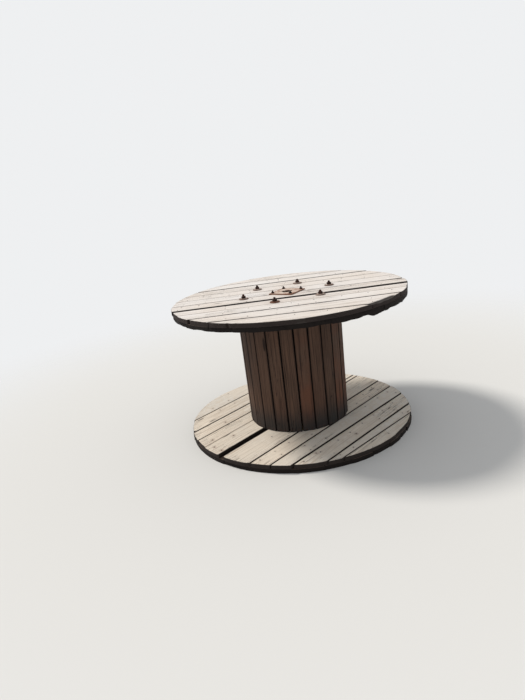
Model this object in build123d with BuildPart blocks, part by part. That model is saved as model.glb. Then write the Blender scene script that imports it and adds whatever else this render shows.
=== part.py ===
from build123d import *
import math
import os

# A wooden cable drum standing on its end. The origin is the middle of the standing face,
# Z runs up the drum's axis and X runs along the boards that show on the top flange.

# Flanges, each of two plies of boards that cross at a right angle
flange_diameter = 1400
ply_thickness = 25
narrowest_board = 15
board_end_wear = [0, 4, 1, 6, 2, 5, 1, 3]

# The boards of a ply are set out between these rims. Each joint has its distance from the
# middle, across the boards, its width, and its skew: how much nearer to the front it is at the
# right rim than at the left.
set_out_rims = [-700, 700]
top_outer_joints = [
    (-562, 9, 92), (-408, 7, 0), (-285, 2, 0), (-162, 18, 0), (-23, 5, 0),
    (117, 3, 0), (255, 2, 0), (392, 10, 0), (540, 3, 0),
]
cross_ply_joints = [
    (-575, 3, 0), (-440, 5, 0), (-310, 3, 0), (-148, 4, 0), (-62, 2, 0),
    (72, 3, 0), (200, 5, 0), (330, 3, 0), (452, 4, 0), (580, 2, 0),
]
bottom_near_joints = [(-612, 4, 90), (-549, 6, 36), (-421, 7, 50), (-306, 7, 15), (-188, 5, 0)]
bottom_far_joints = [(178, 2, 0), (283, 6, 0), (391, 4, 0), (528, 4, 0)]
filler_near_edge = 1
filler_width = 35
filler_joint = 3
filler_break = 12
bottom_board_angle = 45

# The split at the rim, along the near side of this joint of the top face, counted from the front
split_joint_number = 5
split_length = 205
split_mouth = 17

# Barrel: flat staves nailed round a former at each end, between the flanges. A former is a ring
# of planks, one between each two tie bolts, sawn to the staves outside and straight inside.
barrel_length = 730
barrel_across_flats = 625
stave_count = 24
stave_thickness = 26
stave_edge = 2.5
first_stave_angle = 5
stave_seams = [1.0, 2.2, 1.0, 3.4, 1.6, 1.0, 2.8]
stave_wear = [0, 1.2, 0.4, 1.8, 0.8]
former_thickness = 25
former_width = 96.5

# Tie bolts that draw the flanges together on the barrel
tie_bolt_count = 6
tie_bolt_to_staves = 20.5
first_tie_bolt_angle = 10
tie_bolt_diameter = 16
tie_bolt_hole_clearance = 2
tie_nut_width = 24
tie_nut_height = 13
tie_bolt_end = 10
tie_head_height = 10
tie_recess_clearance = 9
tie_washer_diameter = 56
tie_washer_thickness = 5

# Bearing plates at the arbor hole
plate_side = 158
plate_thickness = 6
plate_corner_angle = 8
plate_recess_clearance = 2
arbor_bore = 65
timber_bore_clearance = 5
plate_bolt_spacing = 123
plate_bolt_diameter = 10
plate_bolt_hole_clearance = 1
plate_nut_width = 17
plate_nut_height = 8
plate_head_height = 6.5
plate_bolt_end = 8

thread_clearance = 0.3

# Levels and radii that follow from the sizes above
flange_radius = flange_diameter / 2
bottom_inner_level = ply_thickness
barrel_level = bottom_inner_level + ply_thickness
top_inner_level = barrel_level + barrel_length
top_outer_level = top_inner_level + ply_thickness
top_face_level = top_outer_level + ply_thickness
former_apothem = barrel_across_flats / 2 - stave_thickness
stave_pitch = 2 * former_apothem * math.tan(math.pi / stave_count)
tie_bolt_radius = former_apothem - tie_bolt_to_staves
tie_bolt_hole = tie_bolt_diameter + tie_bolt_hole_clearance
tie_recess_side = tie_nut_width / math.cos(math.pi / 6) + tie_recess_clearance
timber_bore = arbor_bore + timber_bore_clearance
plate_bolt_hole = plate_bolt_diameter + plate_bolt_hole_clearance
plate_turn = plate_corner_angle - 45
plate_bolt_circle = plate_bolt_spacing / math.sqrt(2)


def save(piece, label):
    """Labels a finished piece and writes it under the same name."""
    piece.label = label
    export_step(piece, f"parts/{label}.step")


def joint_place(set_out):
    """Joints over the barrel stay where they are set out. Those further out keep their share of
    the flange beyond the barrel."""
    barrel_radius = barrel_across_flats / 2
    share = (abs(set_out) - barrel_radius) / (set_out_rims[1] - barrel_radius)
    if share < 0:
        return set_out
    return math.copysign(barrel_radius + share * (flange_radius - barrel_radius), set_out)


def ply_spans(joints):
    """The lower and upper edge of each board of a round ply, from one rim to the other, each
    with its skew."""
    spans = []
    lower = (-flange_radius, 0)
    for set_out, gap, skew in joints:
        place = joint_place(set_out)
        if abs(place) < flange_radius - narrowest_board:
            spans.append((lower, (place - gap / 2, skew)))
            lower = (place + gap / 2, skew)
    spans.append((lower, (flange_radius, 0)))
    return spans


def end_radius(number):
    """The radius that the ends of a board are worn to."""
    return flange_radius - board_end_wear[number % len(board_end_wear)]


def tie_bolt_places(turn=0, turned=True):
    return PolarLocations(
        tie_bolt_radius, tie_bolt_count, first_tie_bolt_angle - turn, rotate=turned
    )


def plate_bolt_places(turn=0):
    return PolarLocations(plate_bolt_circle, 4, plate_corner_angle - turn)


def board_outline(span, radius, start=None):
    """A board seen from above, along the local X, with its ends on the flange's edge."""
    (lower, lower_skew), (upper, upper_skew) = span
    left = -radius if start is None else start
    with BuildSketch() as outline:
        with BuildLine():
            Polyline(
                (left, lower - lower_skew * left / flange_diameter),
                (radius, lower - lower_skew * radius / flange_diameter),
                (radius, upper - upper_skew * radius / flange_diameter),
                (left, upper - upper_skew * left / flange_diameter),
                close=True,
            )
        make_face()
        Circle(radius, mode=Mode.INTERSECT)
    return outline.sketch


def hole_outline(turn, with_plate_bolts):
    """The arbor hole and the bolt holes of a ply."""
    with BuildSketch() as outline:
        Circle(timber_bore / 2)
        with tie_bolt_places(turn):
            Circle(tie_bolt_hole / 2)
        if with_plate_bolts:
            with plate_bolt_places(turn):
                Circle(plate_bolt_hole / 2)
    return outline.sketch


def split_outline():
    """The wedge that has opened at the rim, along the far edge of the board that it is in."""
    place, gap, skew = top_outer_joints[split_joint_number - 1]
    edge = place - gap / 2
    with BuildSketch() as wedge:
        with BuildLine():
            Polyline(
                (flange_radius - split_length, edge),
                (flange_radius, edge),
                (flange_radius, edge - split_mouth),
                close=True,
            )
        make_face()
    return wedge.sketch


def top_outer_boards():
    """The weathered boards of the top face."""
    for number, span in enumerate(ply_spans(top_outer_joints)):
        with BuildPart() as board:
            with BuildSketch(Plane.XY.offset(top_outer_level)):
                add(board_outline(span, end_radius(number)))
                add(hole_outline(0, True), mode=Mode.SUBTRACT)
                add(split_outline(), mode=Mode.SUBTRACT)
            extrude(amount=ply_thickness)
        save(board.part, f"top_board_{number + 1:02d}")


def bottom_inner_boards():
    """The boards that face the barrel on the bottom flange. The filler strip by the arbor hole
    is left on one side of the hole only."""
    near_side = ply_spans(bottom_near_joints)
    near_side[-1] = (near_side[-1][0], (filler_near_edge - filler_joint / 2, 0))
    filler_far_edge = filler_near_edge + filler_width
    filler = ((filler_near_edge + filler_joint / 2, 0), (filler_far_edge, 0))
    far_side = ply_spans(bottom_far_joints)
    far_side[0] = ((filler_far_edge + filler_joint / 2, 0), far_side[0][1])
    plane = Plane.XY.offset(bottom_inner_level).rotated((0, 0, bottom_board_angle))
    for number, span in enumerate(near_side + [filler] + far_side):
        start = timber_bore / 2 + filler_break if span is filler else None
        with BuildPart() as board:
            with BuildSketch(plane):
                add(board_outline(span, end_radius(number + 3), start))
                add(hole_outline(bottom_board_angle, False), mode=Mode.SUBTRACT)
            extrude(amount=ply_thickness)
        save(board.part, f"bottom_board_{number + 1:02d}")


def top_inner_boards():
    """The ply under the top face, laid across it, as boards that don't touch."""
    plane = Plane.XY.offset(top_inner_level).rotated((0, 0, 90))
    with BuildPart() as ply:
        with BuildSketch(plane):
            for number, span in enumerate(ply_spans(cross_ply_joints)):
                add(board_outline(span, end_radius(number + 1)))
            add(hole_outline(90, True), mode=Mode.SUBTRACT)
        extrude(amount=ply_thickness)
    save(ply.part, "top_inner_boards")


def bottom_outer_boards():
    """The ply that the drum stands on, with square recesses for the bearing plate and for the
    heads of the tie bolts."""
    turn = bottom_board_angle + 90
    plane = Plane.XY.rotated((0, 0, turn))
    with BuildPart() as ply:
        with BuildSketch(plane):
            for number, span in enumerate(ply_spans(cross_ply_joints)):
                add(board_outline(span, end_radius(number + 5)))
            Circle(timber_bore / 2, mode=Mode.SUBTRACT)
            with tie_bolt_places(turn, turned=False):
                Rectangle(tie_recess_side, tie_recess_side, mode=Mode.SUBTRACT)
        extrude(amount=ply_thickness)
        with BuildSketch(Plane.XY.rotated((0, 0, plate_turn))):
            Rectangle(plate_side + plate_recess_clearance, plate_side + plate_recess_clearance)
        extrude(amount=plate_thickness, mode=Mode.SUBTRACT)
    save(ply.part, "bottom_outer_boards")


def former(label, level):
    """The planks at one end of the barrel that the staves are nailed to. They end at the sides
    of the tie bolts, so that they are separate solids."""
    between_bolts = first_tie_bolt_angle + 180 / tie_bolt_count
    with BuildPart() as ring:
        with BuildSketch(Plane.XY.offset(level)):
            RegularPolygon(
                former_apothem,
                stave_count,
                major_radius=False,
                rotation=first_stave_angle - 180 / stave_count,
            )
            RegularPolygon(
                former_apothem - former_width,
                tie_bolt_count,
                major_radius=False,
                rotation=between_bolts - 180 / tie_bolt_count,
                mode=Mode.SUBTRACT,
            )
            with tie_bolt_places():
                Rectangle(2 * former_width, tie_bolt_hole, mode=Mode.SUBTRACT)
        extrude(amount=former_thickness)
    save(ring.part, label)


def staves():
    """The barrel's planks, square edged, so that each seam opens outwards as a narrow vee."""
    for number in range(stave_count):
        width = stave_pitch - stave_seams[number % len(stave_seams)]
        thickness = stave_thickness - stave_wear[number % len(stave_wear)]
        angle = first_stave_angle + number * 360 / stave_count
        with BuildPart() as stave:
            with BuildSketch(Plane.XY.offset(barrel_level).rotated((0, 0, angle))) as section:
                with Locations((former_apothem + thickness / 2, 0)):
                    Rectangle(thickness, width)
                chamfer(section.vertices().group_by(Axis.X)[-1], stave_edge)
            extrude(amount=barrel_length)
        save(stave.part, f"stave_{number + 1:02d}")


def tie_bolts():
    """Six long bolts, with their hexagon heads let into the standing face."""
    end_level = top_face_level + tie_washer_thickness + tie_nut_height + tie_bolt_end
    with BuildPart() as bolts:
        with BuildSketch(Plane.XY.offset(bottom_inner_level - tie_head_height)):
            with tie_bolt_places():
                RegularPolygon(tie_nut_width / 2, 6, major_radius=False)
        extrude(amount=tie_head_height)
        with BuildSketch(Plane.XY.offset(bottom_inner_level)):
            with tie_bolt_places():
                Circle(tie_bolt_diameter / 2)
        extrude(amount=end_level - bottom_inner_level)
    save(bolts.part, "tie_bolts")


def tie_nuts():
    """The nuts on the threaded ends of the tie bolts. Each is rusted fast to the wide washer that
    spreads its pull on the top face, so that nut and washer are one solid."""
    with BuildPart() as nuts:
        with BuildSketch(Plane.XY.offset(top_face_level)):
            with tie_bolt_places():
                Circle(tie_washer_diameter / 2)
        extrude(amount=tie_washer_thickness)
        with BuildSketch(Plane.XY.offset(top_face_level + tie_washer_thickness)):
            with tie_bolt_places():
                RegularPolygon(tie_nut_width / 2, 6, major_radius=False)
        extrude(amount=tie_nut_height)
        with BuildSketch(Plane.XY.offset(top_face_level)):
            with tie_bolt_places():
                Circle((tie_bolt_diameter + thread_clearance) / 2)
        extrude(amount=tie_washer_thickness + tie_nut_height, mode=Mode.SUBTRACT)
    save(nuts.part, "tie_nuts")


def plate_outline():
    """The square bearing plate with its bore."""
    with BuildSketch() as outline:
        with Locations(Rot(0, 0, plate_turn)):
            Rectangle(plate_side, plate_side)
        Circle(arbor_bore / 2, mode=Mode.SUBTRACT)
    return outline.sketch


def top_plate():
    """The bearing plate that is bolted on the top face."""
    with BuildPart() as plate:
        with BuildSketch(Plane.XY.offset(top_face_level)):
            add(plate_outline())
            with plate_bolt_places():
                Circle(plate_bolt_hole / 2, mode=Mode.SUBTRACT)
        extrude(amount=plate_thickness)
    save(plate.part, "top_bearing_plate")


def bottom_plate():
    """The bearing plate that is let in flush with the standing face."""
    with BuildPart() as plate:
        with BuildSketch():
            add(plate_outline())
        extrude(amount=plate_thickness)
    save(plate.part, "bottom_bearing_plate")


def plate_bolts():
    """Hexagon bolts through the top plate, with their heads inside the barrel and their nuts
    rusted fast on the plate, so that bolt and nut are one solid."""
    plate_top = top_face_level + plate_thickness
    with BuildPart() as bolts:
        with BuildSketch(Plane.XY.offset(top_inner_level - plate_head_height)):
            with plate_bolt_places():
                RegularPolygon(plate_nut_width / 2, 6, major_radius=False)
        extrude(amount=plate_head_height)
        with BuildSketch(Plane.XY.offset(top_inner_level)):
            with plate_bolt_places():
                Circle(plate_bolt_diameter / 2)
        extrude(amount=plate_top + plate_nut_height + plate_bolt_end - top_inner_level)
        with BuildSketch(Plane.XY.offset(plate_top)):
            with plate_bolt_places():
                RegularPolygon(plate_nut_width / 2, 6, major_radius=False)
        extrude(amount=plate_nut_height)
    save(bolts.part, "plate_bolts")


os.makedirs("parts", exist_ok=True)
top_outer_boards()
top_inner_boards()
bottom_inner_boards()
bottom_outer_boards()
former("top_former", top_inner_level - former_thickness)
former("bottom_former", barrel_level)
staves()
tie_bolts()
tie_nuts()
top_plate()
bottom_plate()
plate_bolts()
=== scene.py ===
import math
import random

import bpy
from mathutils import Matrix, Vector, bvhtree, kdtree, noise


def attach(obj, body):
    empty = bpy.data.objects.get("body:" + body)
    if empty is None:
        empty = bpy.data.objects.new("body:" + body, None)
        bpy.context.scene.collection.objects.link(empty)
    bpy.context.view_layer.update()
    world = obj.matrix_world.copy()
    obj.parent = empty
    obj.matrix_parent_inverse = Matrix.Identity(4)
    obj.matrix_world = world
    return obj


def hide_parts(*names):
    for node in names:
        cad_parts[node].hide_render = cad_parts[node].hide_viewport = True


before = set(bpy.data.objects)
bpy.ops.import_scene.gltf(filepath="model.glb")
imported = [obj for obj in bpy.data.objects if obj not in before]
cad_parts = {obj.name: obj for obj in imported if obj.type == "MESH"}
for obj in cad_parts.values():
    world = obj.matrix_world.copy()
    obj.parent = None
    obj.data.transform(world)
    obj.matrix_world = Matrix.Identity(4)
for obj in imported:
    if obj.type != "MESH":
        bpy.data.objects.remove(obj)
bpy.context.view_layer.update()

# Flanges, each of two plies of boards that cross at a right angle
FLANGE_RADIUS = 0.700
PLY = 0.025
BARREL_LENGTH = 0.730
BOTTOM_FACE = 2 * PLY
TOP_INNER = BOTTOM_FACE + BARREL_LENGTH
TOP_OUTER = TOP_INNER + PLY
TOP_FACE = TOP_OUTER + PLY
BOTTOM_TURN = math.radians(45)
ACROSS = math.radians(90)

# How far the ends of the boards have worn back from the rim, taken in turn
END_WEAR = [0, 0.004, 0.001, 0.006, 0.002, 0.005, 0.001, 0.003]

# Each joint has its distance from the middle, its width and its skew, which is how much nearer
# to the front it lies at the right rim than at the left one.
TOP_JOINTS = [
    (-562, 9, 92), (-408, 7, 0), (-285, 2, 0), (-162, 18, 0), (-23, 5, 0),
    (117, 3, 0), (255, 2, 0), (392, 10, 0), (540, 3, 0),
]
CROSS_JOINTS = [
    (-575, 3, 0), (-440, 5, 0), (-310, 3, 0), (-148, 4, 0), (-62, 2, 0),
    (72, 3, 0), (200, 5, 0), (330, 3, 0), (452, 4, 0), (580, 2, 0),
]
NEAR_JOINTS = [(-612, 4, 90), (-549, 6, 36), (-421, 7, 50), (-306, 7, 15), (-188, 5, 0)]
FAR_JOINTS = [(178, 2, 0), (283, 6, 0), (391, 4, 0), (528, 4, 0)]

# The bottom boards beside the gap at the arbor hole, and the filler strip that is left in it:
# the two edges of each and their skews. The filler starts beside the hole.
GAP_NEAR_BOARD = (-0.1855, -0.0005, 0.0, 0.0)
GAP_FILLER = (0.0025, 0.036, 0.0, 0.0)
GAP_FAR_BOARD = (0.0375, 0.177, 0.0, 0.0)
FILLER_START = 0.047

# Top boards whose joint behind them opens to the right: where that starts, and by how much the
# joint has opened at the rim
OPEN_JOINTS = {3: (-FLANGE_RADIUS, 0.008), 4: (FLANGE_RADIUS - 0.205, 0.017)}

# How black the boards have gone along their joints, from the near rim to the far one
TOP_BLACK = [0.0, 0.4, 0.45, 0.1, 1.4, 0.25, 0.15, 0.2, 0.75, 0.3, 0.0]
BOTTOM_BLACK = [0.0, 0.35, 0.5, 0.5, 0.3, 0.5, 0.6, 0.6, 0.0, 0.25, 0.5, 0.35, 0.0]

# How far the near ends of the top cross boards hang down in splinters, if negative, or both ends
# have splintered off underneath, from the right to the left
TORN_UNDERSIDE = [-0.010, -0.014, -0.018, -0.006, 0.004, 0.005, 0.003, 0.005, 0.004, 0.006, 0.006]

# Nails that the photo shows on the bottom flange
SHOWN_NAILS = [
    (-487, -33), (-431, -241), (-544, -364), (-499, -416),
    (-559, -268), (23, -591), (639, -227), (279, -425),
]

# Barrel
STAVES = 24
STAVE_THICKNESS = 0.026
BARREL_ACROSS_FLATS = 0.625
STAVE_SEAT = BARREL_ACROSS_FLATS / 2 - STAVE_THICKNESS
FIRST_STAVE_DEGREES = 5

# How much narrower and thinner than a new one each stave is, taken in turn
STAVE_SEAMS = [1.0, 2.2, 1.0, 3.4, 1.6, 1.0, 2.8]
STAVE_WEAR = [0, 1.2, 0.4, 1.8, 0.8]

# Iron
TIE_NUT_WIDTH = 0.024
TIE_NUT_HEIGHT = 0.013
TIE_HEAD_HEIGHT = 0.010
WASHER_THICKNESS = 0.005
PLATE_THICKNESS = 0.006
PLATE_TURN = math.radians(-37)
PLATE_CORNER = math.radians(8)
PLATE_NUT_WIDTH = 0.017
PLATE_NUT_HEIGHT = 0.008
PLATE_HEAD_HEIGHT = 0.0065


def around(radius, first_degrees, count):
    """Places on a circle round the drum's axis."""
    turns = [math.radians(first_degrees + 360 / count * n) for n in range(count)]
    return [Vector((radius * math.cos(turn), radius * math.sin(turn), 0)) for turn in turns]


TIE_BOLTS = around(radius=0.266, first_degrees=10, count=6)
PLATE_BOLTS = around(radius=0.08697, first_degrees=8, count=4)
AXIS = Vector((0, 0, 0))

# Drills: the place, the radius and the two levels between which it cuts. A square recess has its
# number of sides and its turn too, and its radius reaches to its corners.
BELOW = -0.1
ABOVE = 1.0
INSIDE_BARREL = 0.6
HEAD_RECESS_CORNER = 0.0367 / math.sqrt(2)
PLATE_RECESS_CORNER = 0.16 / math.sqrt(2)
TIE_DRILLS = [(place, 0.009, BELOW, ABOVE) for place in TIE_BOLTS]
ARBOR_DRILL = [(AXIS, 0.035, BELOW, ABOVE)]
PLATE_DRILLS = [(place, 0.0055, INSIDE_BARREL, ABOVE) for place in PLATE_BOLTS]
HEAD_RECESSES = [(place, HEAD_RECESS_CORNER, BELOW, ABOVE, 4, 0.0) for place in TIE_BOLTS]
PLATE_RECESS = [(AXIS, PLATE_RECESS_CORNER, BELOW, PLATE_THICKNESS, 4, PLATE_CORNER)]
RIM_NOTCH = [(Vector((-0.3535, -0.6087, 0)), 0.009, INSIDE_BARREL, ABOVE)]


# Finishes

def shade(red, green, blue):
    """A colour as it is mixed on a paint chart, from 0 to 255, for a socket."""
    parts = []
    for part in (red, green, blue):
        part = part / 255
        parts.append(part / 12.92 if part <= 0.04045 else ((part + 0.055) / 1.055) ** 2.4)
    return (*parts, 1)


class Wire:
    """What comes out of a node. Sums written on wires become nodes of their own."""

    def __init__(self, finish, socket):
        self.finish = finish
        self.socket = socket

    def sum(self, operation, first, second=0.0):
        settings = {"operation": operation}
        return self.finish.node("ShaderNodeMath", settings, {0: first, 1: second})

    def __add__(self, other):
        return self.sum("ADD", self, other)

    __radd__ = __add__

    def __sub__(self, other):
        return self.sum("SUBTRACT", self, other)

    def __rsub__(self, other):
        return self.sum("SUBTRACT", other, self)

    def __mul__(self, other):
        return self.sum("MULTIPLY", self, other)

    def __pow__(self, other):
        return self.sum("POWER", self, other)

    def sine(self):
        return self.sum("SINE", self)

    def size(self):
        return self.sum("ABSOLUTE", self)

    def greater(self, other):
        return self.sum("GREATER_THAN", self, other)

    def most(self, other):
        return self.sum("MAXIMUM", self, other)

    def least(self, other):
        return self.sum("MINIMUM", self, other)

    def rise(self, low, high, bottom=0.0, top=1.0):
        """Rises smoothly from bottom to top while the value goes from low to high."""
        settings = {"interpolation_type": "SMOOTHSTEP"}
        values = {0: self, 1: low, 2: high, 3: bottom, 4: top}
        return self.finish.node("ShaderNodeMapRange", settings, values)

    def part(self, number):
        """One of the three parts of a vector."""
        return self.finish.node("ShaderNodeSeparateXYZ", {}, {0: self}, number)


class Nodes:
    """The nodes of a material or of the studio's air."""

    def __init__(self, owner):
        owner.use_nodes = True
        self.tree = owner.node_tree
        self.tree.nodes.clear()

    def node(self, kind, settings, values, output=0):
        """Adds a node: its settings come first, then its sockets' values or wires."""
        node = self.tree.nodes.new(kind)
        for name, setting in settings.items():
            setattr(node, name, setting)
        for name, value in values.items():
            if isinstance(value, Wire):
                self.tree.links.new(value.socket, node.inputs[name])
            else:
                node.inputs[name].default_value = value
        return Wire(self, node.outputs[output]) if node.outputs else node


class Finish(Nodes):
    """One of the drum's materials."""

    def __init__(self, name, gloss=0.2):
        self.material = bpy.data.materials.new(name)
        super().__init__(self.material)
        self.surface = self.tree.nodes.new("ShaderNodeBsdfPrincipled")
        self.surface.inputs["Specular IOR Level"].default_value = gloss
        ending = self.tree.nodes.new("ShaderNodeOutputMaterial")
        self.tree.links.new(self.surface.outputs[0], ending.inputs["Surface"])

    def here(self):
        """Where a point is on the drum."""
        return self.node("ShaderNodeTexCoord", {}, {}, "Object")

    def carried(self, name, output="Fac"):
        """What the mesh carries under this name."""
        return self.node("ShaderNodeAttribute", {"attribute_name": name}, {}, output)

    def stretch(self, vector, scale):
        return self.node("ShaderNodeVectorMath", {"operation": "MULTIPLY"}, {0: vector, 1: scale})

    def cloud(self, vector, scale, detail, rough):
        values = {"Vector": vector, "Scale": scale, "Detail": detail, "Roughness": rough}
        return self.node("ShaderNodeTexNoise", {}, values)

    def streaks(self, vector, scale, detail, rough=0.55):
        """A cloud drawn out along the grain."""
        return self.cloud(self.stretch(vector, scale), 1.0, detail, rough)

    def cells(self, vector, scale, output="Distance"):
        return self.node("ShaderNodeTexVoronoi", {}, {"Vector": vector, "Scale": scale}, output)

    def tint(self, base, colour, factor):
        """Lays a colour over another, as thick as the factor."""
        settings = {"data_type": "RGBA"}
        return self.node("ShaderNodeMix", settings, {0: factor, 6: base, 7: colour}, 2)

    def ramp(self, value, *stops):
        """A colour that runs through three stops."""
        colour = self.node("ShaderNodeValToRGB", {}, {0: value})
        elements = colour.socket.node.color_ramp.elements
        elements.new(0.5)
        for element, stop in zip(elements, stops):
            element.position, element.color = stop
        return colour

    def relief(self, height, depth, strength):
        values = {"Height": height, "Distance": depth, "Strength": strength}
        return self.node("ShaderNodeBump", {}, values)

    def lay(self, **inputs):
        """Connects the finished values to the surface."""
        for name, value in inputs.items():
            socket = self.surface.inputs[name.replace("_", " ")]
            if isinstance(value, Wire):
                self.tree.links.new(value.socket, socket)
            else:
                socket.default_value = value


RUST_BROWN = shade(112, 66, 46)
FIBRE = (14, 420, 420)


def late_wood(depth, ring):
    """The dark late wood of rings that follow each other through the depth."""
    return ((depth * (2 * math.pi / ring)).sine() * 0.5 + 0.5) ** 3.0


def growth(wood, grain, ring, knots):
    """The late wood of the log's rings, and its knots, round which the rings bend."""
    slow = wood.streaks(grain, (1.3, 6, 6), 2.0)
    spots = wood.stretch(grain, (2.6, 11, 5))
    knot_reach = wood.cells(spots, 1.0)
    knot_here = wood.cells(spots, 1.0, "Color").part(0).greater(knots)
    knot = (1 - knot_reach.rise(0.07, 0.14)) * knot_here
    swirl = (1 - knot_reach.rise(0.05, 0.42)) * knot_here
    width = grain.part(1) + (slow - 0.5) * 0.03 + swirl * 0.009
    depth = grain.part(2) + (slow - 0.5) * 0.012
    radius = (width * width + depth * depth) ** 0.5 + grain.part(0) * 0.006
    return late_wood(radius, ring), knot


def drying_cracks(wood, grain):
    """Fine cracks along the grain, in patches and towards a board's ends."""
    check = wood.streaks(grain, (2.4, 70, 40), 2.0, 0.4)
    torn = wood.streaks(grain, (1.6, 9, 9), 2.0)
    check_here = torn.rise(0.50, 0.62).most(wood.carried("tip") * 0.9)
    return (1 - (check - 0.5).size().rise(0.003, 0.013)) * check_here


def lay_timber(wood, colour, fibre, height, depth, strength):
    """Lays a timber's colour on it, with the roughness of its fibre and its relief."""
    rough = (fibre * 0.2 + 0.74).least(1.0)
    wood.lay(Base_Color=colour, Roughness=rough, Normal=wood.relief(height, depth, strength))
    return wood.material


def timber(name, pale, deep, silver, crack_and_shade, tip, soil, knots, grime, ring=0.0042,
           dust=None, warm=None, damp=None):
    """Sawn softwood that has stood in the weather. Its grain is that of the log from which each
    board was cut, so that it runs on over the edges and shows its rings at the ends."""
    wood = Finish(name)
    here = wood.here()
    grain = wood.carried("grain", "Vector")
    tone = wood.carried("tone")
    from_edge = wood.carried("edge")
    late, knot = growth(wood, grain, ring, knots)
    split = drying_cracks(wood, grain)
    fibre = wood.streaks(grain, FIBRE, 4.0, 0.65)
    streak = wood.streaks(grain, (2.2, 90, 60), 3.0, 0.6)
    patch = wood.cloud(here, 2.6, 5.0, 0.6)
    fleck = wood.cloud(here, 34.0, 4.0, 0.7)

    # The grain, with the silver of old timber in patches
    colour = wood.tint(pale, deep, late * 0.55 + (fibre - 0.5) * 0.5 + streak * 0.35 - 0.1)
    layers = [
        (silver, (patch.rise(0.35, 0.68) * 0.55 + tone * 0.45).least(0.9)),
        (deep, (streak.rise(0.5, 0.72) * 0.7 * (1.15 - tone)).least(1.0)),
    ]
    if warm:
        # Some boards browner and some darker, with soot in their grain
        soot = wood.streaks(grain, (2.6, 120, 40), 4.0, 0.6)
        layers += [
            (warm, tone.rise(0.35, 0.85) * patch.rise(0.36, 0.6) * 0.7),
            (deep, (1 - tone) * 0.35),
            (crack_and_shade, fibre.rise(0.5, 0.72) * streak.rise(0.4, 0.7) * 0.5),
            (crack_and_shade, soot.rise(0.48, 0.72) * 0.7),
        ]
    if damp:
        # Damp that has risen from the foot
        layers += [(damp, (1 - here.part(2).rise(0.06, 0.24)) * (0.45 + patch) * 0.85)]
    layers += [(crack_and_shade, knot * 0.8)]
    if dust:
        layers += [(dust, fleck.rise(0.45, 0.62) * patch.rise(0.42, 0.6) * 0.6)]

    # Soil and black rot along the joints, painted shade on the board's sides below its face and in its
    # battered dent, dark where it is cracked, stains round the iron, and last the end grain, whose dark
    # colour is partly the wood's own and partly painted shade at the flanges' rims
    layers += [
        (soil, (1 - from_edge.rise(0.0, 0.009)) * grime * (0.4 + fleck)),
        (crack_and_shade, (wood.carried("black") * 0.010 - from_edge).rise(0.0, 0.0025) * 0.95),
        # Painted shade: the deeper a point lies below the board's face, on its sides and in dents, the darker
        # it is
        (crack_and_shade, wood.carried("deep").rise(0.0002, 0.0035) * 0.94),
        (crack_and_shade, split * 0.85),
        (RUST_BROWN, (wood.carried("stain") * (0.45 + streak)).least(0.92)),
        (wood.tint(tip, crack_and_shade, late * 0.7 + (fleck - 0.5)), wood.carried("end")),
    ]
    for paint, factor in layers:
        colour = wood.tint(colour, paint, factor)

    height = late * 0.35 + fibre * 0.7 + streak * 0.25 - split * 1.3 - knot * 0.3
    return lay_timber(wood, colour, fibre, height, 0.0012, 0.75)


def rusted_iron(name, dark, mid, bright, dust=None, edge=None):
    """Steel that has rusted all over, pitted and scaling, under dust and redder at its edge."""
    iron = Finish(name, 0.3)
    here = iron.here()
    broad = iron.cloud(here, 38.0, 5.0, 0.62)
    fine = iron.cloud(here, 260.0, 5.0, 0.7)
    pits = iron.cells(here, 520.0)
    colour = iron.ramp(broad * 0.6 + fine * 0.4, (0.34, dark), (0.5, mid), (0.66, bright))
    colour = iron.tint(colour, dark, (1 - pits.rise(0.05, 0.35)) * 0.6)
    if dust:
        colour = iron.tint(colour, dust, broad.rise(0.42, 0.6) * 0.85)
    if edge:
        colour = iron.tint(colour, edge, iron.carried("rusty") * (0.5 + fine * 0.8))
    iron.lay(
        Base_Color=colour,
        Metallic=fine.rise(0.5, 0.7, 0.25, 0.0),
        Roughness=fine.rise(0.3, 0.7, 0.6, 0.95),
        Normal=iron.relief(fine * 0.7 + broad * 0.6 + pits * 0.4, 0.0008, 0.8),
    )
    return iron.material


def sheltered_timber(name, pale, deep, ring=0.0055):
    """Sawn softwood that rain and sun don't reach."""
    wood = Finish(name)
    here = wood.here()
    bend = wood.streaks(here, (2, 8, 8), 2.0)
    late = late_wood(here.part(1) * 0.8 + here.part(2) * 0.6 + bend * 0.03, ring)
    fibre = wood.streaks(here, FIBRE, 4.0, 0.65)
    colour = wood.tint(pale, deep, late * 0.6 + fibre * 0.5)
    return lay_timber(wood, colour, fibre, late * 0.35 + fibre * 0.7, 0.001, 0.7)


# The end grain colours of this and the flange timber below are partly the wood's own and partly painted shade
# of the rims
TOP_TIMBER = timber(
    "sun_bleached_softwood", shade(241, 231, 221), shade(176, 160, 146), shade(234, 228, 223),
    shade(34, 27, 25), shade(56, 48, 45), shade(112, 97, 86), knots=0.78, grime=0.45,
)
FLANGE_TIMBER = timber(
    "dusty_flange_softwood", shade(245, 231, 212), shade(184, 164, 142), shade(222, 215, 204),
    shade(38, 31, 28), shade(50, 43, 40), shade(112, 95, 80), knots=0.70, grime=0.35,
    dust=shade(214, 198, 178),
)
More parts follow.
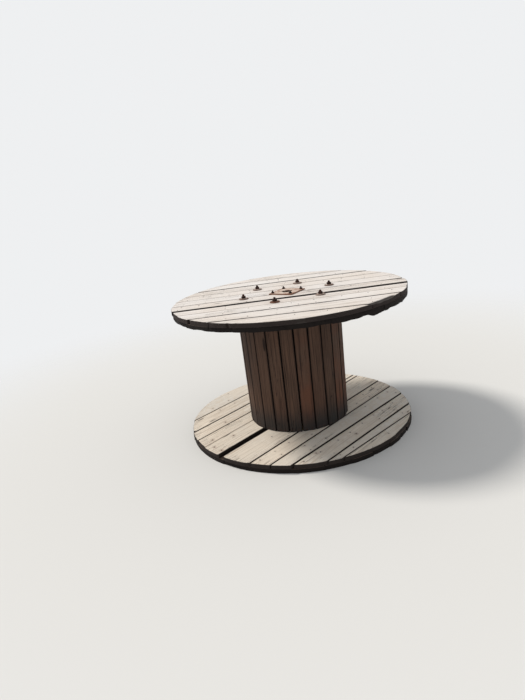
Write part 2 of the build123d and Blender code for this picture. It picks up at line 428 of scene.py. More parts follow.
# The cross boards show only at the rims and down the gaps: their colours are partly the wood's own and partly
# painted shade, set dark as those places lie in shade
CROSS_TIMBER = timber(
    "dark_rim_softwood", shade(104, 86, 73), shade(62, 50, 42), shade(86, 77, 70),
    shade(24, 19, 17), shade(27, 21, 18), shade(40, 33, 29), knots=0.7, grime=0.5,
)
STAVE_TIMBER = timber(
    "grey_brown_stave_softwood", shade(116, 87, 70), shade(56, 41, 33), shade(88, 74, 65),
    shade(22, 16, 14), shade(52, 43, 38), shade(40, 31, 26), ring=0.0055, knots=0.66, grime=0.4,
    warm=shade(114, 72, 52), damp=shade(46, 48, 48),
)
FORMER_TIMBER = sheltered_timber("sheltered_softwood", shade(150, 122, 92), shade(112, 86, 62))
# Near black: the walls of holes, recesses and the rim notch, partly rust stain and partly painted shade
BORED_TIMBER = sheltered_timber("stained_and_shaded_bore_softwood", shade(44, 34, 29), shade(24, 18, 16))
BOLT_IRON = rusted_iron("dark_rust", shade(24, 18, 16), shade(48, 32, 27), shade(88, 54, 40))
PLATE_IRON = rusted_iron(
    "dusty_tan_rust", shade(138, 108, 92), shade(186, 158, 140), shade(206, 180, 162),
    dust=shade(220, 206, 192), edge=shade(134, 92, 70),
)
WASHER_IRON = rusted_iron(
    "bleached_rust", shade(128, 104, 92), shade(180, 156, 142), shade(204, 186, 173),
    dust=shade(216, 204, 194), edge=shade(106, 84, 74),
)
BROWN_WASHER_IRON = rusted_iron("brown_rust", shade(66, 42, 33), shade(110, 74, 58), shade(142, 102, 82))


# Meshes

SHARP_FOLD = math.radians(38)

# What each point of a board carries for its finish: whether it is on the end grain, how far the
# nearer edge is, the board's tone, stains, how near the ends are, how deep below the face it lies,
# which sets its painted shade, and how black the joint is. Its place in the log goes with them, as
# three numbers called grain.
CARRIED = ("end", "edge", "tone", "stain", "tip", "deep", "black")
TIP_REACH = 0.09


def make(name, points, faces, finish, numbers=None, grain=()):
    """A mesh with the numbers that its finish reads."""
    mesh = bpy.data.meshes.new(name)
    mesh.from_pydata(points, [], faces)
    for key, values in (numbers or {}).items():
        mesh.attributes.new(key, "FLOAT", "POINT").data.foreach_set("value", values)
    if grain:
        flat = [part for place in grain for part in place]
        mesh.attributes.new("grain", "FLOAT_VECTOR", "POINT").data.foreach_set("vector", flat)
    mesh.update()
    mesh.shade_smooth()
    mesh.set_sharp_from_angle(angle=SHARP_FOLD)
    mesh.materials.append(finish)
    piece = bpy.data.objects.new(name, mesh)
    bpy.context.scene.collection.objects.link(piece)
    return piece


def settle(piece, slot, *nodes):
    """Puts a finished piece on the drum, in the place of the plain one."""
    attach(piece, "root")
    if nodes:
        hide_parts(*nodes)


def stained(point, irons):
    """How much a point is stained by the iron near it."""
    amount = 0.0
    for place, extent, strength in irons:
        gap = (Vector(point) - place).length
        if gap < 4 * extent:
            amount += strength * math.exp(-((gap / extent) ** 2))
    return min(1.0, amount)


class Skin:
    """The points, faces and carried numbers of boards that make one mesh."""

    def __init__(self):
        self.points = []
        self.faces = []
        self.grain = []
        self.numbers = {name: [] for name in CARRIED}

    def board(self, stations, widths, heights, seat, tone, cut, irons=(), black=(0, 0)):
        """Adds a board, whose skin lies at the stations along, across and through it. For three
        stations, seat gives the point, its place on the board, how far it is from the ends and how
        far knocks have sunk it, as depth added to its painted shade. Cut is the board's place in the
        log, and black says how dark its two edges have gone."""
        last = (len(stations) - 1, len(widths) - 1, len(heights) - 1)
        full_width = widths[-1][1]
        index = {}
        for i, along in enumerate(stations):
            for j, width in enumerate(widths):
                for k, height in enumerate(heights):
                    at_end = i in (0, last[0])
                    if not (at_end or j in (0, last[1]) or k in (0, last[2])):
                        continue
                    point, local, end_gap, sunk = seat(along, width, height)
                    index[i, j, k] = len(self.points)
                    self.points.append(point)
                    self.grain.append((local[0] + cut[0], local[1] - cut[1], local[2] + cut[2]))
                    self.carry(
                        end=1.0 if at_end else 0.0,
                        edge=min(width[1], full_width - width[1]),
                        tone=tone,
                        stain=stained(point, irons),
                        tip=max(0.0, 1 - end_gap / TIP_REACH),
                        deep=heights[-1][1] - height[1] + sunk,
                        black=black[0 if width[1] < full_width / 2 else 1],
                    )
        self.cover(index, *last)

    def carry(self, **numbers):
        for name, number in numbers.items():
            self.numbers[name].append(number)

    def cover(self, index, end, far, top):
        """Lays faces over the points of a board's six sides."""
        for i in range(end):
            for j in range(far):
                self.pair(index, lambda a, b, side: (i + a, j + b, side * top))
        for i in range(end):
            for k in range(top):
                self.pair(index, lambda a, b, side: (i + b, side * far, k + a))
        for j in range(far):
            for k in range(top):
                self.pair(index, lambda a, b, side: (side * end, j + a, k + b))

    def pair(self, index, corner):
        """Two faces on opposite sides, each with its front outwards."""
        for a, b in ((0, 1), (1, 0)):
            steps = ((0, 0), (a, b), (1, 1), (b, a))
            self.faces.append([index[corner(*step, a)] for step in steps])

    def piece(self, name, finish):
        return make(name, self.points, self.faces, finish, self.numbers, self.grain)


def spread(start, stop, step):
    """Even stations from start to stop, about a step apart."""
    count = max(1, round((stop - start) / step))
    return [start + (stop - start) * n / count for n in range(count + 1)]


def wobble(x, y, z, scale):
    """Smooth unevenness, from about -1 to 1."""
    return noise.noise(Vector((x * scale, y * scale, z * scale)))


def raised(place, level):
    """The same place, higher up."""
    return place + Vector((0, 0, level))


# Boards

# A board's rounded edge sinks and leans in by these shares of its rounding, and its worn end by
# these lengths.
EDGE_SINK = 0.32
EDGE_LEAN = {"shoulder": 0.06, "face": 0.32}
END_SINK = 0.0011
END_LEAN = 0.0009

# How far behind each end a board's skin has two rows of points, over which lengths the end is
# worn, swollen and splintered underneath, and how far inside the rim the outermost boards stop
END_ROWS = (0.0025, 0.007)
WORN_LENGTH = 0.001
SHORT_OF_RIM = 0.0015
SWOLLEN_LENGTH = 0.05
TORN_LENGTH = 0.02
TORN_LAYERS = {"under": 1.0, "low": 0.6}

# Where knocks have broken down the top flange's upper edge: degrees round the rim, and from which
# radius on
BATTERED_MIDDLE = -51
BATTERED_SPREAD = 10
BATTERED_START = 0.671
BATTERED_DEPTH = 0.009
# The dent is painted darker, as shade, by its sunk depth times this
BATTERED_PAINTED_SHADE = 1.2


def stations_across(width, round_edge, step):
    """The two edges of a board and what lies between them, set in by its rounding."""
    inside = [("inside", place) for place in spread(round_edge, width - round_edge, step)]
    return [("near", 0.0)] + inside + [("far", width)]


def stations_through(thickness, low, round_edge):
    """From the back of a board to its face."""
    return [("under", 0.0), ("low", low), ("shoulder", thickness - round_edge), ("face", thickness)]


def hollow(cup, share):
    """How far a cupped board has sunk in the middle, or at its edges if cup is negative."""
    bow = (2 * share - 1) ** 2
    return cup * (1 - bow) if cup > 0 else -cup * bow


def battered(point):
    """How far knocks have broken down the top flange's upper edge, on its near right side."""
    turn = math.degrees(math.atan2(point.y, point.x))
    window = min(1.0, max(0.0, 1.6 - 1.6 * ((turn - BATTERED_MIDDLE) / BATTERED_SPREAD) ** 2))
    ragged = 0.8 + 0.6 * wobble(point.x, point.y, 3.3, 30)
    return window * ragged * min(1.0, max(0.0, (point.xy.length - BATTERED_START) / 0.012))


def chip(dice):
    """What has broken off a board's corner: which edge and end, how deep and how broad."""
    corner = (dice.choice((0.0, 1.0)), dice.choice((-1, 1)))
    return (*corner, dice.uniform(0.002, 0.006), dice.uniform(0.008, 0.03))


def ragged_reach(reach, y, z, seed):
    """How far out a worn board's end reaches."""
    broad = 0.0022 * abs(wobble(y, z, seed * 7.3, 90))
    fine = 0.0018 * abs(wobble(y, z * 4, seed * 3.1, 320))
    return reach - 0.0004 - broad - fine


def rim_crossing(side, radius, y, slope):
    """Where a line that slopes from its place across the flange meets the rim."""
    x = 0.0
    for n in range(5):
        x = side * math.sqrt(max(1e-6, radius * radius - (y - slope * x) ** 2))
    return x


def flange_board(skin, span, wear, level, turn, seed, irons=(), start=None, opening=None,
                 step=0.0105, black=(0.3, 0.3), torn=0.0, swollen=(0.0, 0.0)):
    """A board of a round ply. Its ends follow the flange's rim, as far as its place in END_WEAR
    lets them reach, or it starts at the start. Opening is where the joint at its far edge starts
    to open, and how far. Torn is how far its underside has splintered off at the ends, or hangs
    down in splinters if negative, and swollen how far its two edges have spread there."""
    dice = random.Random(seed)
    reach = FLANGE_RADIUS - END_WEAR[wear % len(END_WEAR)]
    near, far, near_skew, far_skew = span
    near = max(near, SHORT_OF_RIM - reach)
    far = min(far, reach - SHORT_OF_RIM)
    width = far - near
    round_edge = dice.uniform(0.0018, 0.0032)
    cup = dice.uniform(-0.0006, 0.0010)
    chips = [chip(dice) for n in range(0 if torn else dice.choice((1, 1, 2, 3)))]
    spin = Matrix.Rotation(turn, 3, "Z")
    middle = (near + far) / 2
    closest = 0.0 if near < 0 < far else min(abs(near), abs(far))
    longest = 2 * math.sqrt(max(0.0001, reach * reach - closest * closest))
    first, second = END_ROWS
    stations = [(0.0, 0.0), (0.0, first)]
    stations += [(part, second * (1 - 2 * part)) for part in spread(0, 1, step / longest)]
    stations += [(1.0, -first), (1.0, 0.0)]

    def seat(station, across, height):
        along, set_in = station
        edge, inward = across
        layer, z = height
        share = inward / width
        y = near + inward
        slope = (near_skew + (far_skew - near_skew) * share) / (2 * FLANGE_RADIUS)
        rim = ragged_reach(reach, y, z, seed)
        ends = {}
        for side in (-1, 1):
            worn = rim
            for corner, chipped_side, deep, broad in chips:
                if chipped_side == side:
                    worn -= deep * max(0.0, 1 - abs(share - corner) * width / broad)
            ends[side] = rim_crossing(side, worn, y, slope)
        left = ends[-1] if start is None else start
        upper = layer in EDGE_LEAN
        x = left + (ends[1] - left) * along + set_in
        y -= slope * x
        y += 0.0007 * wobble(x, middle, seed * 1.7, 5) * (1 - 2 * share)
        if opening:
            mouth_start, mouth = opening
            y -= mouth * share * max(0.0, x - mouth_start) / (FLANGE_RADIUS - mouth_start)
        if layer == "face":
            z -= hollow(cup, share) + 0.0007 * (0.5 + 0.5 * wobble(x, y, seed * 2.9, 14))
            if edge != "inside":
                z -= round_edge * EDGE_SINK
        if edge != "inside" and upper:
            lean = round_edge * EDGE_LEAN[layer]
            y += lean if edge == "near" else -lean
        end_gap = min(x - left, ends[1] - x)
        if end_gap < WORN_LENGTH and layer == "face":
            z -= END_SINK
            x += END_LEAN if along < 0.5 else -END_LEAN
        if end_gap < SWOLLEN_LENGTH:
            y += (swollen[1] * share - swollen[0] * (1 - share)) * (1 - end_gap / SWOLLEN_LENGTH)
        if torn and layer in TORN_LAYERS and end_gap < TORN_LENGTH and (torn > 0 or along < 0.5):
            frayed = max(0.0, 0.35 + 0.8 * wobble(x, y, 5.7, 17) + 0.2 * wobble(x, y, seed * 5.7, 90))
            z += torn * frayed * (1 - end_gap / TORN_LENGTH) * TORN_LAYERS[layer]
        point = spin @ Vector((x, y, level + z))
        sunk = battered(point) * BATTERED_DEPTH if level == TOP_OUTER and upper else 0.0
        point.z -= sunk
        # The sunk depth, scaled up, adds painted shade in the dent
        return tuple(point), (x, y - near, z), max(0.0, end_gap), sunk * BATTERED_PAINTED_SHADE

    widths = stations_across(width, round_edge, 0.010)
    heights = stations_through(PLY, 0.006, round_edge)
    cut = (dice.uniform(0, 40), dice.uniform(-0.3, 1.3) * width, dice.uniform(0.012, 0.05))
    skin.board(stations, widths, heights, seat, dice.random(), cut, irons, black)


def spans(joints):
    """The two edges of each board between the rims and their skews, from the joints."""
    found = []
    lower, lower_skew = -FLANGE_RADIUS, 0.0
    for place, gap, skew in joints:
        found.append((lower, (place - gap / 2) / 1000, lower_skew, skew / 1000))
        lower, lower_skew = (place + gap / 2) / 1000, skew / 1000
    found.append((lower, FLANGE_RADIUS, lower_skew, 0.0))
    return found


def beside(span, items, turn=0.0, reach=None):
    """Those of the stains or drills whose place is within reach of a board. A drill's reach is
    its radius."""
    turned = Matrix.Rotation(-turn, 3, "Z")
    found = []
    for item in items:
        margin = item[1] if reach is None else reach
        if span[0] - margin < (turned @ item[0]).y < span[1] + margin:
            found.append(item)
    return found


# Holes

SAME_PLACE = 0.00002


def carry_over(plain, bored):
    """Gives a bored mesh the numbers of the plain one. The points that the cut has made take
    theirs from the corners of the face that they lie in."""
    old = kdtree.KDTree(len(plain.vertices))
    for number, vertex in enumerate(plain.vertices):
        old.insert(vertex.co, number)
    old.balance()
    skin = bvhtree.BVHTree.FromPolygons(
        [vertex.co for vertex in plain.vertices], [face.vertices for face in plain.polygons],
    )
    shares = []
    for vertex in bored.vertices:
        spot, number, gap = old.find(vertex.co)
        if gap < SAME_PLACE:
            shares.append([(number, 1.0)])
            continue
        face = plain.polygons[skin.find_nearest(vertex.co)[2]]
        near = [(corner, 1 / (plain.vertices[corner].co - vertex.co).length) for corner in face.vertices]
        total = sum(share for corner, share in near)
        shares.append([(corner, share / total) for corner, share in near])
    for name in (*CARRIED, "grain"):
        key = "vector" if name == "grain" else "value"
        carried = [getattr(item, key) for item in plain.attributes[name].data]
        for item, parts in zip(bored.attributes[name].data, shares):
            value = carried[parts[0][0]] * parts[0][1]
            for corner, share in parts[1:]:
                value = value + carried[corner] * share
            setattr(item, key, value)


def drill_mesh(drills, finish):
    """The bodies of all drills. The wide ones have more sides."""
    points = []
    faces = []
    for place, radius, low, high, *recess in drills:
        first = len(points)
        count, angle = recess or (40 if radius > 0.02 else 20, 0.0)
        for level in (low, high):
            for n in range(count):
                turn = angle + 2 * math.pi * n / count
                points.append((place.x + radius * math.cos(turn), place.y + radius * math.sin(turn), level))
        for n in range(count):
            after = (n + 1) % count
            faces.append([first + n, first + after, first + count + after, first + count + n])
        faces.append([first + n for n in reversed(range(count))])
        faces.append([first + count + n for n in range(count)])
    return make("drill", points, faces, finish)


def bore(piece, drills):
    """Cuts holes and recesses up the drum's axis through a piece."""
    drill = drill_mesh(drills, piece.data.materials[0])
    # The walls that the drills cut take the near black timber, partly stain and partly painted shade
    for mesh in (piece.data, drill.data):
        mesh.materials.append(BORED_TIMBER)
    drill.data.polygons.foreach_set("material_index", [1] * len(drill.data.polygons))
    cut = piece.modifiers.new("bore", "BOOLEAN")
    cut.object = drill
    cut.operation = "DIFFERENCE"
    cut.solver = "MANIFOLD"
    bpy.context.view_layer.update()
    graph = bpy.context.evaluated_depsgraph_get()
    ready = piece.evaluated_get(graph)
    bored = bpy.data.meshes.new_from_object(ready, preserve_all_data_layers=True, depsgraph=graph)
    piece.modifiers.clear()
    plain = piece.data
    piece.data = bored
    bored.name = piece.name
    carry_over(plain, bored)
    for spare in (plain, drill.data):
        bpy.data.meshes.remove(spare)


# Nail places

def nail_rows(joints, cross, turn, level, seed):
    """Places of the nails that hold the boards of a ply to the boards across them. Half of them
    are sunk too deep to be seen."""
    dice = random.Random(seed)
    places = []
    spin = Matrix.Rotation(turn, 3, "Z")
    for near, far, near_skew, far_skew in spans(joints):
        for low, high, *rest in spans(cross):
            for share in ((0.25, 0.75) if far - near > 0.09 else (0.5,)):
                y = near + (far - near) * share + dice.uniform(-0.008, 0.008)
                x = (low + high) / 2 + dice.uniform(-0.025, 0.025)
                y -= (near_skew + (far_skew - near_skew) * share) * x / (2 * FLANGE_RADIUS)
                if math.hypot(x, y) < FLANGE_RADIUS - 0.03 and dice.random() < 0.5:
                    places.append(spin @ Vector((x, y, level)))
    return places


def clear_of_iron(place):
    """Whether a nail on the top face is clear of the bearing plate and the washers."""
    nearest_bolt = min((place.xy - bolt.xy).length for bolt in TIE_BOLTS)
    return place.xy.length > 0.13 and nearest_bolt > 0.05


def clear_of_barrel(place):
    """Whether a nail on the bottom flange is clear of the barrel and of the side where only the
    nails that the photo shows are drawn."""
    return place.xy.length > 0.345 and not (place.x < -0.3 and place.y < 0.1)


top_rows = nail_rows(TOP_JOINTS, CROSS_JOINTS, 0, TOP_FACE, 11)
low_rows = nail_rows(NEAR_JOINTS + FAR_JOINTS, CROSS_JOINTS, BOTTOM_TURN, BOTTOM_FACE, 12)
top_nails = [place for place in top_rows if clear_of_iron(place)]
low_nails = [place for place in low_rows if clear_of_barrel(place)]
shown_nails = [Vector((x / 1000, y / 1000, BOTTOM_FACE)) for x, y in SHOWN_NAILS]


def stave_turn(number):
    """The way that a stave faces."""
    return math.radians(FIRST_STAVE_DEGREES + number * 360 / STAVES)


def stave_nail_places(turn):
    """Two nails into each former, near the middle of the stave's width."""
    dice = random.Random(round(turn * 1000))
    places = []
    for level in (BOTTOM_FACE + PLY / 2, TOP_INNER - PLY / 2):
        for offset in (-0.018, 0.017):
            y = offset + dice.uniform(-0.005, 0.005)
            z = level + dice.uniform(-0.004, 0.004)
            out = STAVE_SEAT + STAVE_THICKNESS - 0.0009
            places.append(Vector((
                out * math.cos(turn) - y * math.sin(turn), out * math.sin(turn) + y * math.cos(turn), z,
            )))
    return places


# Timber pieces

# A stain round iron has its place, its extent and its strength. Those within this reach of a board
# show on it.
STAIN_REACH = 0.15
TOP_STAINS = [(raised(place, TOP_FACE), 0.034, 0.32) for place in TIE_BOLTS]
TOP_STAINS += [(raised(AXIS, TOP_FACE), 0.095, 0.3)]
LOW_STAINS = [(place, 0.0085, 0.3) for place in low_nails]
LOW_STAINS += [(place, 0.010, 0.7) for place in shown_nails]


def showing_boards(flange, slot, finish, boards, level, turn, wear_shift, seed, stains, drills,
                   black, openings):
    """The ply of a flange that shows. Each board is a piece, with its stains and its holes."""
    for number, span in enumerate(boards):
        skin = Skin()
        flange_board(skin, span, number + wear_shift, level, turn, seed + number,
                     irons=beside(span, stains, turn, STAIN_REACH),
                     start=FILLER_START if span is GAP_FILLER else None,
                     opening=openings.get(number), black=black[number:number + 2])
        piece = skin.piece(f"weathered_{flange}_board_{number + 1:02d}", finish)
        holes = beside(span, drills, turn)
        if holes:
            bore(piece, holes)
        settle(piece, slot, f"{flange}_board_{number + 1:02d}")


def cross_boards(name, node, level, turn, wear_shift, seed, drills, torn=(0,) * 11):
    """A ply of boards across the ones that show. Their ends have swollen until they meet."""
    skin = Skin()
    gaps = [0] + [gap for place, gap, skew in CROSS_JOINTS] + [0]
    for number, span in enumerate(spans(CROSS_JOINTS)):
        swollen = [max(0, gap / 2 - 0.3) / 1000 for gap in gaps[number:number + 2]]
        flange_board(skin, span, number + wear_shift, level, turn, seed + number, step=0.018,
                     torn=torn[number], swollen=swollen)
    piece = skin.piece(name, CROSS_TIMBER)
    bore(piece, drills)
    settle(piece, "cross_laid_boards", node)


def stave(number):
    """A stave with a square back and a worn, rounded and cupped face."""
    dice = random.Random(500 + number)
    pitch = 2 * STAVE_SEAT * math.tan(math.pi / STAVES)
    width = pitch - STAVE_SEAMS[number % len(STAVE_SEAMS)] / 1000
    thickness = STAVE_THICKNESS - STAVE_WEAR[number % len(STAVE_WEAR)] / 1000
    turn = stave_turn(number)
    out = Vector((math.cos(turn), math.sin(turn), 0))
    side = Vector((-math.sin(turn), math.cos(turn), 0))
    round_edge = dice.uniform(0.0010, 0.0022)
    cup = dice.uniform(-0.0006, 0.0009)

    def seat(z, across, height):
        edge, inward = across
        layer, x = height
        share = inward / width
        y = inward - width / 2
        y *= 1 - 0.010 * abs(wobble(z, number * 3.7, 1 if share > 0.5 else 2, 4))
        if layer == "face":
            x -= hollow(cup, share) + 0.0008 * (0.5 + 0.5 * wobble(z, y, number * 5.1, 11))
            if edge != "inside":
                x -= round_edge * EDGE_SINK
        if edge != "inside" and layer in EDGE_LEAN:
            y -= math.copysign(round_edge * EDGE_LEAN[layer], y)
        point = out * (STAVE_SEAT + x) + side * y + Vector((0, 0, BOTTOM_FACE + z))
        return tuple(point), (z, inward, x), min(z, BARREL_LENGTH - z), 0.0

    stations = [0.0] + spread(0.003, BARREL_LENGTH - 0.003, 0.0105) + [BARREL_LENGTH]
    widths = stations_across(width, round_edge, 0.009)
    heights = stations_through(thickness, 0.010, round_edge)
    irons = [(place, 0.006, 0.2) for place in stave_nail_places(turn)]
    cut = (dice.uniform(0, 40), dice.uniform(-0.4, 1.4) * width, dice.uniform(0.01, 0.06))
    skin = Skin()
    skin.board(stations, widths, heights, seat, dice.random(), cut, irons)
    piece = skin.piece(f"weathered_stave_{number + 1:02d}", STAVE_TIMBER)
    settle(piece, "staves", f"stave_{number + 1:02d}")


# Iron pieces

# A ring of a turned form has its radius, its height and its kind. One that closes a form has this
# radius.
CLOSED = 0.0002


def lathe(points, faces, rings, place, count, shaped=None, shape=None):
    """Adds a turned form to a mesh: its rings lie round an upright line, and shape gives the
    radius of those of the shaped kind."""
    first = len(points)
    for radius, height, kind in rings:
        for n in range(count):
            turn = 2 * math.pi * n / count
            r = shape(radius, height, turn) if kind == shaped else radius
            points.append((place.x + r * math.cos(turn), place.y + r * math.sin(turn), place.z + height))
    for ring in range(len(rings)):
        low = first + ring * count
        high = first + ((ring + 1) % len(rings)) * count
        for n in range(count):
            after = (n + 1) % count
            faces.append([low + n, low + after, high + after, high + n])


def from_side(turn, sides, angle):
    """How far a turn is from the middle of the nearest side of a many-sided form."""
    half = math.pi / sides
    return (turn - angle + half) % (2 * half) - half


def rusty_rim(rings, count):
    """Tells a finish which points of a turned form are on its rim."""
    return [1.0 if kind == "rim" else 0.0 for radius, height, kind in rings for n in range(count)]


def nut(points, faces, place, flat_width, height, hole, angle):
    """A hexagon nut with its corners chamfered above and below."""
    corner = flat_width / math.sqrt(3)
    rings = [
        (hole, 0, "round"), (flat_width * 0.47, 0, "hex"), (flat_width * 0.5, 0.0006, "hex"),
        (corner, height * 0.14, "hex"), (corner, height * 0.5, "hex"), (corner, height * 0.78, "hex"),
        (flat_width * 0.5, height * 0.93, "hex"), (flat_width * 0.43, height, "hex"), (hole, height, "round"),
    ]

    def chamfered(radius, height, turn):
        return min(radius, flat_width / 2 / math.cos(from_side(turn, 6, angle)))

    lathe(points, faces, rings, place, 48, "hex", chamfered)


def stud(points, faces, place, radius, plain, thread, bare, pitch, count=28):
    """A bolt's shank, with a worn thread on its upper end, which is rusted thinner where it
    stands bare above its nut."""
    rings = [(CLOSED, 0, "cap"), (radius, 0, "cap"), (radius, plain, "cap")]
    end = plain + thread
    for level in spread(plain, end - 0.0016, pitch / 4)[1:]:
        rusted = max(0.0, 1 - (end - level) / bare)
        rings.append((radius * (1 - 0.22 * rusted), level, "thread"))
    rings += [(radius * 0.55, end, "cap"), (CLOSED, end, "cap")]

    def threaded(ring_radius, height, turn):
        phase = (height / pitch - turn / (2 * math.pi)) % 1
        return ring_radius - pitch * 0.34 * abs(2 * phase - 1)

    lathe(points, faces, rings, place, count, "thread", threaded)


def tie_bolts(dice):
    """Bolts through the whole drum, with their heads sunk in the bottom outer ply."""
    points, faces = [], []
    for place in TIE_BOLTS:
        nut(points, faces, raised(place, PLY - TIE_HEAD_HEIGHT), TIE_NUT_WIDTH, TIE_HEAD_HEIGHT,
            hole=0.007, angle=dice.uniform(0, 1))
        stud(points, faces, raised(place, 0.0155), radius=0.008, plain=0.79, thread=0.0525,
             bare=0.010, pitch=0.002)
    settle(make("rusty_tie_bolts", points, faces, BOLT_IRON), "rusty_steel", "tie_bolts")


def tie_nuts(dice):
    """The nuts of the tie bolts, on their washers."""
    points, faces = [], []
    for place in TIE_BOLTS:
        nut(points, faces, raised(place, TOP_FACE + WASHER_THICKNESS), TIE_NUT_WIDTH, TIE_NUT_HEIGHT,
            hole=0.0081, angle=dice.uniform(0, 1))
    settle(make("rusty_tie_nuts", points, faces, BOLT_IRON), "rusty_steel", "tie_nuts")


def tie_washers(name, finish, places):
    """Wide washers with worn rims."""
    rings = [
        (0.00825, 0, "bore"), (0.0276, 0, "rim"), (0.028, 0.0008, "rim"), (0.028, 0.0036, "rim"),
        (0.0272, 0.0048, "rim"), (0.020, 0.005, "flat"), (0.0094, 0.005, "flat"), (0.00825, 0.0044, "bore"),
    ]
    count = 56
    points, faces, rusty = [], [], []
    for place in places:
        def worn(radius, height, turn):
            return radius - 0.0009 * abs(wobble(math.cos(turn), math.sin(turn), place.x * 30, 2.5))

        lathe(points, faces, rings, raised(place, TOP_FACE), count, "rim", worn)
        rusty += rusty_rim(rings, count)
    settle(make(name, points, faces, finish, {"rusty": rusty}), "rusty_steel", "tie_nuts")


def bearing_plate(name, node, level):
    """A square plate with a turned bore and a rim that rust has eaten."""
    rings = [
        (0.0325, 0.0006, "bore"), (0.0331, 0.0, "bore"), (0.0785, 0.0, "rim"),
        (0.079, 0.0008, "rim"), (0.079, 0.0048, "rim"), (0.0779, 0.006, "rim"),
        (0.070, 0.006, "bore"), (0.045, 0.006, "bore"), (0.0338, 0.006, "bore"), (0.0325, 0.0052, "bore"),
    ]
    count = 180

    def square(radius, height, turn):
        eaten = 0.0006 * abs(wobble(math.cos(turn), math.sin(turn), 4.2, 9))
        return radius / math.cos(from_side(turn, 4, PLATE_TURN)) - eaten

    points, faces = [], []
    lathe(points, faces, rings, raised(AXIS, level), count, "rim", square)
    rusty = rusty_rim(rings, count)
    settle(make(name, points, faces, PLATE_IRON, {"rusty": rusty}), "rusty_steel", node)


def plate_bolts(dice):
    """Short bolts through the top flange, each with its nut on the plate."""
    points, faces = [], []
    for place in PLATE_BOLTS:
        nut(points, faces, raised(place, TOP_INNER - PLATE_HEAD_HEIGHT), PLATE_NUT_WIDTH, PLATE_HEAD_HEIGHT,
            hole=0.004, angle=dice.uniform(0, 1))
        nut(points, faces, raised(place, TOP_FACE + PLATE_THICKNESS), PLATE_NUT_WIDTH, PLATE_NUT_HEIGHT,
            hole=0.0045, angle=dice.uniform(0, 1))
        stud(points, faces, raised(place, TOP_INNER - 0.006), radius=0.005, plain=0.050,
             thread=0.028, bare=0.008, pitch=0.0015, count=22)
    settle(make("rusty_plate_bolts", points, faces, BOLT_IRON), "rusty_steel", "plate_bolts")


def nail_rings(size):
    """A short nail with a worn head, whose top is at its place."""
    return [
        (CLOSED, -0.004, "cap"), (size * 0.4, -0.004, "cap"), (size, -0.0012, "cap"),
        (size, -0.0002, "cap"), (size * 0.6, 0.0, "cap"), (CLOSED, 0.0, "cap"),
    ]


def board_nails(dice):
    points, faces = [], []
    for place in top_nails + low_nails + shown_nails:
        lathe(points, faces, nail_rings(dice.uniform(0.0030, 0.0038)), raised(place, 0.0002), 12)
    settle(make("board_nails", points, faces, BOLT_IRON), "rusty_steel")


def stave_nails(dice):
    points, faces = [], []
    for number in range(STAVES):
        turn = stave_turn(number)
        outward = Matrix.Rotation(turn, 3, "Z") @ Matrix.Rotation(math.pi / 2, 3, "Y")
        for place in stave_nail_places(turn):
            first = len(points)
            lathe(points, faces, nail_rings(dice.uniform(0.0028, 0.0035)), AXIS, 10)
            points[first:] = [tuple(place + outward @ Vector(point)) for point in points[first:]]
    settle(make("stave_nails", points, faces, BOLT_IRON), "rusty_steel")


def ironwork():
    """The bolts, nuts, washers and bearing plates, and the nail heads."""
    dice = random.Random(31)
    tie_bolts(dice)
    tie_nuts(dice)
    tie_washers("bleached_tie_washers", WASHER_IRON, TIE_BOLTS[:4] + TIE_BOLTS[5:])
    tie_washers("brown_tie_washer", BROWN_WASHER_IRON, TIE_BOLTS[4:5])
    bearing_plate("rusty_top_plate", "top_bearing_plate", TOP_FACE)
    bearing_plate("rusty_bottom_plate", "bottom_bearing_plate", 0.0)
    plate_bolts(dice)
    board_nails(dice)
    stave_nails(dice)


# Studio

def pale_floor():
    """A plain floor that fades out round the drum."""
    ground = Finish("pale_floor", 0.0)
    far = ground.node("ShaderNodeVectorMath", {"operation": "LENGTH"}, {0: ground.here()}, "Value")
    ground.lay(Base_Color=shade(226, 224, 220), Roughness=1.0, Alpha=1 - far.rise(1.6, 4.2))
    half = 14
    corners = [(-half, -half, 0), (half, -half, 0), (half, half, 0), (-half, half, 0)]
    floor = make("floor", corners, [[0, 1, 2, 3]], ground.material)
    floor.location.z = -0.0005


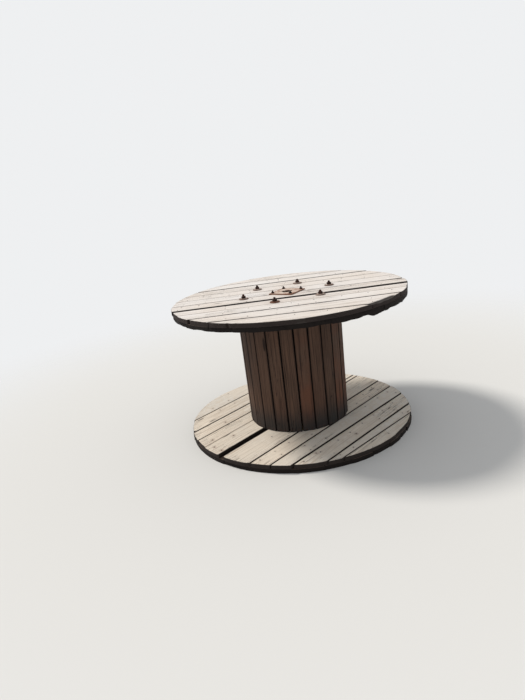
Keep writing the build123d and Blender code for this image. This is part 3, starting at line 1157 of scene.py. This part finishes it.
def soft_light():
    """Light from all round, behind which a pale background shows, and a soft sun."""
    world = bpy.data.worlds.new("studio")
    air = Nodes(world)
    seen = air.node("ShaderNodeLightPath", {}, {}, "Is Camera Ray")
    for ray in ("Is Glossy Ray", "Is Transmission Ray"):
        seen = seen.most(air.node("ShaderNodeLightPath", {}, {}, ray))
    soft = air.node("ShaderNodeBackground", {}, {"Color": (0.93, 0.96, 1.0, 1), "Strength": 0.56})
    pale = air.node("ShaderNodeBackground", {}, {"Color": (0.86, 0.87, 0.88, 1), "Strength": 1.0})
    both = air.node("ShaderNodeMixShader", {}, {0: seen, 1: soft, 2: pale})
    air.node("ShaderNodeOutputWorld", {}, {"Surface": both})
    bpy.context.scene.world = world

    lamp = bpy.data.lights.new("key", "SUN")
    lamp.energy = 2.3
    lamp.angle = math.radians(12)
    lamp.color = (1.0, 0.97, 0.92)
    key = bpy.data.objects.new("key", lamp)
    shines = Vector((0.58, -0.30, -0.76))
    key.rotation_euler = shines.to_track_quat("-Z", "Y").to_euler()
    bpy.context.scene.collection.objects.link(key)


def photo_camera():
    """The camera at the photograph's angle."""
    lens = bpy.data.cameras.new("camera")
    lens.lens = 26.15
    lens.sensor_width = 36.0
    lens.shift_x = 0.0057
    lens.shift_y = 0.0398
    lens.clip_start = 0.02
    lens.clip_end = 200
    camera = bpy.data.objects.new("camera", lens)
    look = Vector((-0.0050, 0.9407, -0.3391)).normalized()
    up = Vector((0.1292, 0.3368, 0.9326))
    up = (up - look * up.dot(look)).normalized()
    side = look.cross(up)
    stand = Matrix((side, up, -look)).transposed().to_4x4()
    stand.translation = Vector((-0.2207, -3.0368, 1.4048))
    camera.matrix_world = stand
    bpy.context.scene.collection.objects.link(camera)
    bpy.context.scene.camera = camera
    bpy.context.scene.view_settings.view_transform = "Standard"


near_boards = spans(NEAR_JOINTS)[:-1] + [GAP_NEAR_BOARD, GAP_FILLER]
far_boards = [GAP_FAR_BOARD] + spans(FAR_JOINTS)[1:]
showing_boards("top", "top_face_boards", TOP_TIMBER, spans(TOP_JOINTS), TOP_OUTER, 0, 0, 100,
               TOP_STAINS, TIE_DRILLS + ARBOR_DRILL + PLATE_DRILLS + RIM_NOTCH, TOP_BLACK, OPEN_JOINTS)
showing_boards("bottom", "bottom_flange_boards", FLANGE_TIMBER, near_boards + far_boards, PLY,
               BOTTOM_TURN, 3, 200, LOW_STAINS, TIE_DRILLS + ARBOR_DRILL, BOTTOM_BLACK, {})
cross_boards("dark_top_cross_boards", "top_inner_boards", TOP_INNER, ACROSS, 1, 300,
             TIE_DRILLS + ARBOR_DRILL + PLATE_DRILLS, TORN_UNDERSIDE)
cross_boards("dark_bottom_cross_boards", "bottom_outer_boards", 0.0, BOTTOM_TURN + ACROSS, 5, 400,
             HEAD_RECESSES + ARBOR_DRILL + PLATE_RECESS)
for number in range(STAVES):
    stave(number)
ironwork()
for node in ("top_former", "bottom_former"):
    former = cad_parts[node]
    former.data.materials.clear()
    former.data.materials.append(FORMER_TIMBER)
pale_floor()
soft_light()
photo_camera()
